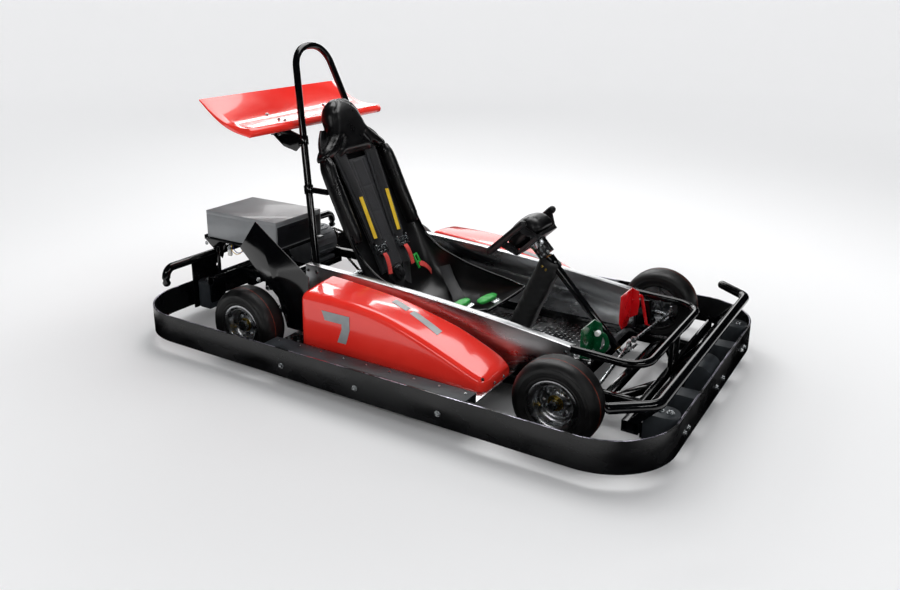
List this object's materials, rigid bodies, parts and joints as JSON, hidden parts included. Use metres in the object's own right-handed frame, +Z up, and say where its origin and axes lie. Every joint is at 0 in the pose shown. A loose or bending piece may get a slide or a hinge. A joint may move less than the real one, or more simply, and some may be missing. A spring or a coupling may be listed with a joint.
{
  "type": "concession go-kart",
  "caption": "Single-seat rental kart with tube frame, all-round bumper band, side pods, bucket seat, roll hoop, rear wing and chain-driven rear axle.",
  "frame": {"origin": "on the ground under the centre of the bumper band", "axes": "+X forward, the way the driver faces; +Y to the driver's left; +Z up"},
  "size_m": [2.048, 1.296, 1.1],
  "materials": {
    "frame_paint": "gloss black powder coat",
    "band_paint": "satin black coating, scuffed",
    "sill_aluminium": "satin extruded",
    "tread_plate": "rolled diamond tread",
    "red_moulding": "gloss gel coat",
    "black_rubber": "matt moulded rubber",
    "tyre_rubber": "slick tyre rubber",
    "rim_aluminium": "cast and machined",
    "seat_moulding": "grained black moulding",
    "black_vinyl": "soft grained vinyl",
    "webbing": "woven harness webbing",
    "sleeve_fabric": "coated fabric over foam",
    "zinc_steel": "zinc plated",
    "bronze": "sintered bronze",
    "grey_paint": "semi-gloss grey paint",
    "battery_case": "moulded case",
    "motor_casting": "cast, black anodised",
    "chain_steel": "oiled steel",
    "caliper_metal": "gold anodised",
    "wheel_black": "moulded black",
    "brake_red": "gloss red paint",
    "throttle_green": "gloss green paint"
  },
  "bodies": {
    "chassis": {"frame_rails": "frame_paint", "cross_members": "frame_paint", "rear_rails": "frame_paint", "front_rails": "frame_paint", "front_beam": "frame_paint", "floor_pan": "tread_plate", "sill_right": "sill_aluminium", "sill_left": "sill_aluminium", "side_pod_right": "red_moulding", "side_pod_left": "red_moulding", "running_boards": "tread_plate", "edge_strips": "black_rubber", "bumper_band": "band_paint", "band_mounts": "black_rubber", "band_brackets": "frame_paint", "front_bumper_tube": "frame_paint", "rear_bumper_tube": "frame_paint", "pedal_guard_loop": "frame_paint", "roll_hoop": "frame_paint", "hoop_brackets": "frame_paint", "wing": "red_moulding", "wing_bracket": "frame_paint", "seat_shell": "seat_moulding", "seat_pad": "black_vinyl", "headrest": "black_vinyl", "seat_bolsters": "black_vinyl", "harness_straps": "webbing", "harness_hardware": "zinc_steel", "column_tube": "frame_paint", "column_post": "frame_paint", "column_sleeve": "sleeve_fabric", "column_bushes": "bronze", "battery_box": "grey_paint", "box_lid": "grey_paint", "battery_pack": "battery_case", "box_tray": "frame_paint", "wheel_guard": "frame_paint", "drive_motor": "motor_casting", "drive_chain": "chain_steel", "axle_bearings": "chain_steel", "brake_caliper": "caliper_metal", "axle_yokes": "frame_paint", "pedal_brackets": "frame_paint"},
    "steering": {"steering_shaft": "zinc_steel", "steering_wheel": "wheel_black", "steering_pad": "black_vinyl"},
    "spindle_right": {"spindle_right": "zinc_steel"},
    "spindle_left": {"spindle_left": "zinc_steel"},
    "tie_rod_right": {"tie_rod_right": "zinc_steel"},
    "tie_rod_left": {"tie_rod_left": "zinc_steel"},
    "front_wheel_right": {"front_rim_right": "rim_aluminium", "front_tyre_right": "tyre_rubber"},
    "front_wheel_left": {"front_rim_left": "rim_aluminium", "front_tyre_left": "tyre_rubber"},
    "rear_axle": {"rear_axle": "zinc_steel", "rear_rims": "rim_aluminium", "rear_tyres": "tyre_rubber"},
    "motor_rotor": {"motor_sprocket": "chain_steel"},
    "brake_pedal": {"brake_pedal": "brake_red"},
    "throttle_pedal": {"throttle_pedal": "throttle_green"}
  },
  "joints": [
    {"name": "steering_turn", "type": "hinge", "parent": "chassis", "child": "steering", "pos_m": [0.686, 0, 0.13], "axis": [-0.6896, 0, 0.7242], "range_deg": [-40, 40]},
    {"name": "spindle_right_turn", "type": "hinge", "parent": "chassis", "child": "spindle_right", "pos_m": [0.682, -0.372, 0.1375], "axis": [0, 0, 1], "range_deg": [-25, 25]},
    {"name": "tie_rod_right_turn", "type": "hinge", "parent": "spindle_right", "child": "tie_rod_right", "pos_m": [0.757, -0.362, 0.155], "axis": [0, 0, 1], "range_deg": [-25, 25]},
    {"name": "front_wheel_right_spin", "type": "hinge", "parent": "spindle_right", "child": "front_wheel_right", "pos_m": [0.682, -0.48, 0.1375], "axis": [0, 1, 0], "continuous": true},
    {"name": "spindle_left_turn", "type": "hinge", "parent": "chassis", "child": "spindle_left", "pos_m": [0.682, 0.372, 0.1375], "axis": [0, 0, 1], "range_deg": [-25, 25]},
    {"name": "tie_rod_left_turn", "type": "hinge", "parent": "spindle_left", "child": "tie_rod_left", "pos_m": [0.757, 0.362, 0.155], "axis": [0, 0, 1], "range_deg": [-25, 25]},
    {"name": "front_wheel_left_spin", "type": "hinge", "parent": "spindle_left", "child": "front_wheel_left", "pos_m": [0.682, 0.48, 0.1375], "axis": [0, 1, 0], "continuous": true},
    {"name": "rear_axle_spin", "type": "hinge", "parent": "chassis", "child": "rear_axle", "pos_m": [-0.505, 0, 0.1375], "axis": [0, 1, 0], "continuous": true},
    {"name": "motor_spin", "type": "hinge", "parent": "chassis", "child": "motor_rotor", "pos_m": [-0.735, 0.262, 0.243], "axis": [0, 1, 0], "continuous": true},
    {"name": "brake_press", "type": "hinge", "parent": "chassis", "child": "brake_pedal", "pos_m": [0.702, 0.2625, 0.12], "axis": [0, 1, 0], "range_deg": [0, 18], "stiffness_Nm_per_rad": 30, "springref_deg": -8.59},
    {"name": "throttle_press", "type": "hinge", "parent": "chassis", "child": "throttle_pedal", "pos_m": [0.65, -0.1, 0.116], "axis": [0, 1, 0], "range_deg": [0, 22], "stiffness_Nm_per_rad": 12, "springref_deg": -11.46}
  ],
  "couplings": [
    {"joint": "spindle_right_turn", "follows": "steering_turn", "ratio": 0.625},
    {"joint": "spindle_left_turn", "follows": "steering_turn", "ratio": 0.625},
    {"joint": "tie_rod_right_turn", "follows": "steering_turn", "ratio": -0.625},
    {"joint": "tie_rod_left_turn", "follows": "steering_turn", "ratio": -0.625},
    {"joint": "motor_spin", "follows": "rear_axle_spin", "ratio": 3.4667}
  ]
}
